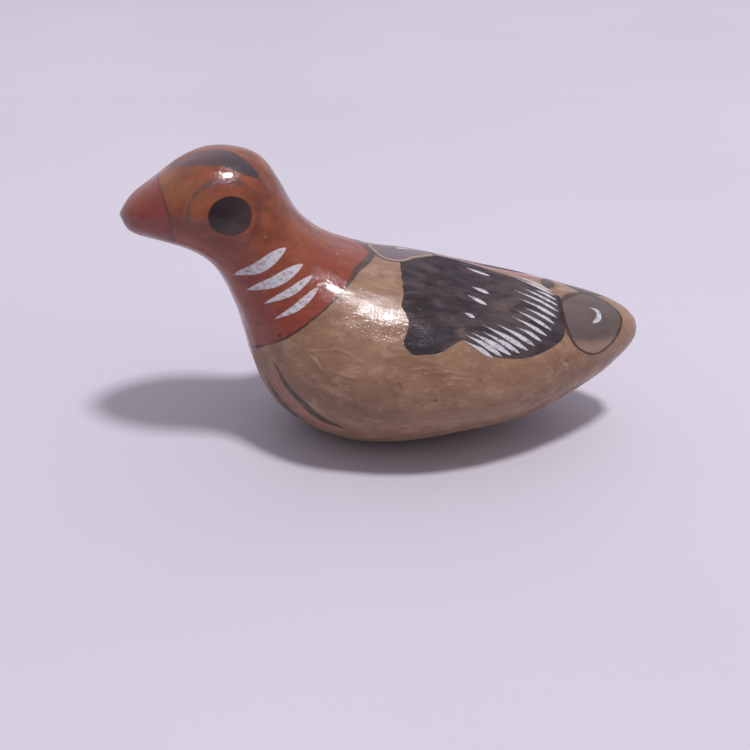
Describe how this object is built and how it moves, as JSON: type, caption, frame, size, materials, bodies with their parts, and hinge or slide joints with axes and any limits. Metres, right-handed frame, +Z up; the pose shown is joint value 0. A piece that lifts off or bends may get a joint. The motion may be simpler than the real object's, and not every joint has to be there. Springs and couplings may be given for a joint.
{
  "type": "ocarina",
  "caption": "Bird-shaped hollow clay vessel flute with a slip-painted burnished skin, a windway through the tail, a side window and finger holes on one flank.",
  "frame": {"origin": "centre of the bounding box at the level of the flat foot", "axes": "+X towards the tail, so the beak points to -X; +Y to the bird's right flank, where the window and finger holes are; +Z up"},
  "size_m": [0.1539, 0.0762, 0.0868],
  "materials": {
    "painted_clay": "low-fired earthenware, slip painted in tan, orange-brown, brick red, dark grey-brown and white, burnished to a gloss",
    "raw_clay": "low-fired earthenware, unpainted, matt, finger-smoothed"
  },
  "bodies": {
    "root": {"left_shell": "painted_clay", "right_shell": "painted_clay", "mouthpiece": "painted_clay", "fipple_block": "raw_clay", "seam_coil": "raw_clay", "tail_coil": "raw_clay"}
  },
  "joints": []
}
